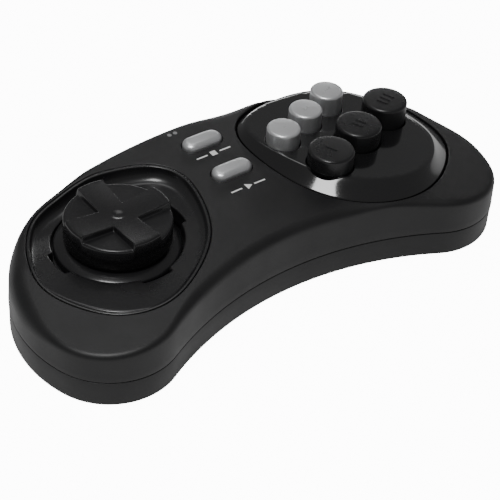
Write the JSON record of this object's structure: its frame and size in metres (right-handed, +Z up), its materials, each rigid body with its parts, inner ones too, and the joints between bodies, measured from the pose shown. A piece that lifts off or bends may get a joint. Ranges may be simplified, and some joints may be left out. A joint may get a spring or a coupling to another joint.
{
  "type": "game controller",
  "caption": "Kidney-shaped cordless game pad with a disc direction pad in an oval dish and round buttons on a raised oval.",
  "frame": {"origin": "middle of the footprint, on the surface the feet stand on", "axes": "+X along the pad to the player's right, +Y away from the player, +Z up"},
  "size_m": [0.138, 0.0614, 0.028],
  "materials": {
    "shell": "fine spark-textured moulded ABS",
    "gloss_insert": "polished piano-black moulding",
    "pad_plastic": "smooth moulded ABS",
    "black_button": "smooth moulded ABS, satin",
    "silver_button": "silver-painted ABS",
    "nylon": "natural nylon",
    "silicone": "translucent grey silicone",
    "foot_rubber": "foam rubber",
    "board": "solder-masked phenolic board",
    "epoxy": "black potting epoxy",
    "shield": "tinned steel",
    "ribbon": "grey pvc",
    "lead_wire": "pvc-covered wire",
    "cell_jacket": "printed film",
    "spring_steel": "nickel-plated steel"
  },
  "bodies": {
    "root": {"top_shell": "shell", "bottom_shell": "shell", "dish_insert": "gloss_insert", "button_insert": "gloss_insert", "dpad_post": "nylon", "dpad_mat": "silicone", "dpad_board": "board", "action_mat": "silicone", "menu_mat": "silicone", "main_board": "board", "controller_chip": "epoxy", "radio_module": "shield", "ribbon_cable": "ribbon", "battery_leads": "lead_wire", "battery_1": "cell_jacket", "battery_2": "cell_jacket", "battery_contacts": "spring_steel", "shell_screws": "spring_steel", "board_screws": "spring_steel", "feet": "foot_rubber"},
    "pad_rocker": {"dpad_rocker": "nylon"},
    "pad": {"dpad": "pad_plastic"},
    "black_1": {"black_button_1": "black_button"},
    "black_2": {"black_button_2": "black_button"},
    "black_3": {"black_button_3": "black_button"},
    "silver_1": {"silver_button_1": "silver_button"},
    "silver_2": {"silver_button_2": "silver_button"},
    "silver_3": {"silver_button_3": "silver_button"},
    "start": {"start_button": "silver_button"},
    "select": {"select_button": "silver_button"},
    "door": {"battery_door": "shell"}
  },
  "joints": [
    {"name": "pad_up_down", "type": "hinge", "parent": "root", "child": "pad_rocker", "pos_m": [-0.03659, 0.00472, 0.0142], "axis": [1, 0, 0], "range_deg": [-3, 3], "stiffness_Nm_per_rad": 0.08},
    {"name": "pad_left_right", "type": "hinge", "parent": "pad_rocker", "child": "pad", "pos_m": [-0.03659, 0.00472, 0.0142], "axis": [0, 1, 0], "range_deg": [-3, 3], "stiffness_Nm_per_rad": 0.08, "deforming": ["dpad_mat"]},
    {"name": "black_1_press", "type": "slide", "parent": "root", "child": "black_1", "axis": [0, 0, -1], "range_m": [0, 0.0015], "stiffness_N_per_m": 600, "deforming": ["action_mat"]},
    {"name": "black_2_press", "type": "slide", "parent": "root", "child": "black_2", "axis": [0, 0, -1], "range_m": [0, 0.0015], "stiffness_N_per_m": 600, "deforming": ["action_mat"]},
    {"name": "black_3_press", "type": "slide", "parent": "root", "child": "black_3", "axis": [0, 0, -1], "range_m": [0, 0.0015], "stiffness_N_per_m": 600, "deforming": ["action_mat"]},
    {"name": "silver_1_press", "type": "slide", "parent": "root", "child": "silver_1", "axis": [0, 0, -1], "range_m": [0, 0.0015], "stiffness_N_per_m": 600, "deforming": ["action_mat"]},
    {"name": "silver_2_press", "type": "slide", "parent": "root", "child": "silver_2", "axis": [0, 0, -1], "range_m": [0, 0.0015], "stiffness_N_per_m": 600, "deforming": ["action_mat"]},
    {"name": "silver_3_press", "type": "slide", "parent": "root", "child": "silver_3", "axis": [0, 0, -1], "range_m": [0, 0.0015], "stiffness_N_per_m": 600, "deforming": ["action_mat"]},
    {"name": "start_press", "type": "slide", "parent": "root", "child": "start", "axis": [0, 0, -1], "range_m": [0, 0.0012], "stiffness_N_per_m": 600, "deforming": ["menu_mat"]},
    {"name": "select_press", "type": "slide", "parent": "root", "child": "select", "axis": [0, 0, -1], "range_m": [0, 0.0012], "stiffness_N_per_m": 600, "deforming": ["menu_mat"]},
    {"name": "battery_door_hinge", "type": "hinge", "parent": "root", "child": "door", "pos_m": [0.004, 0.01952, 0.0012], "axis": [1, 0, 0], "range_deg": [0, 60], "stiffness_Nm_per_rad": 0.03}
  ]
}
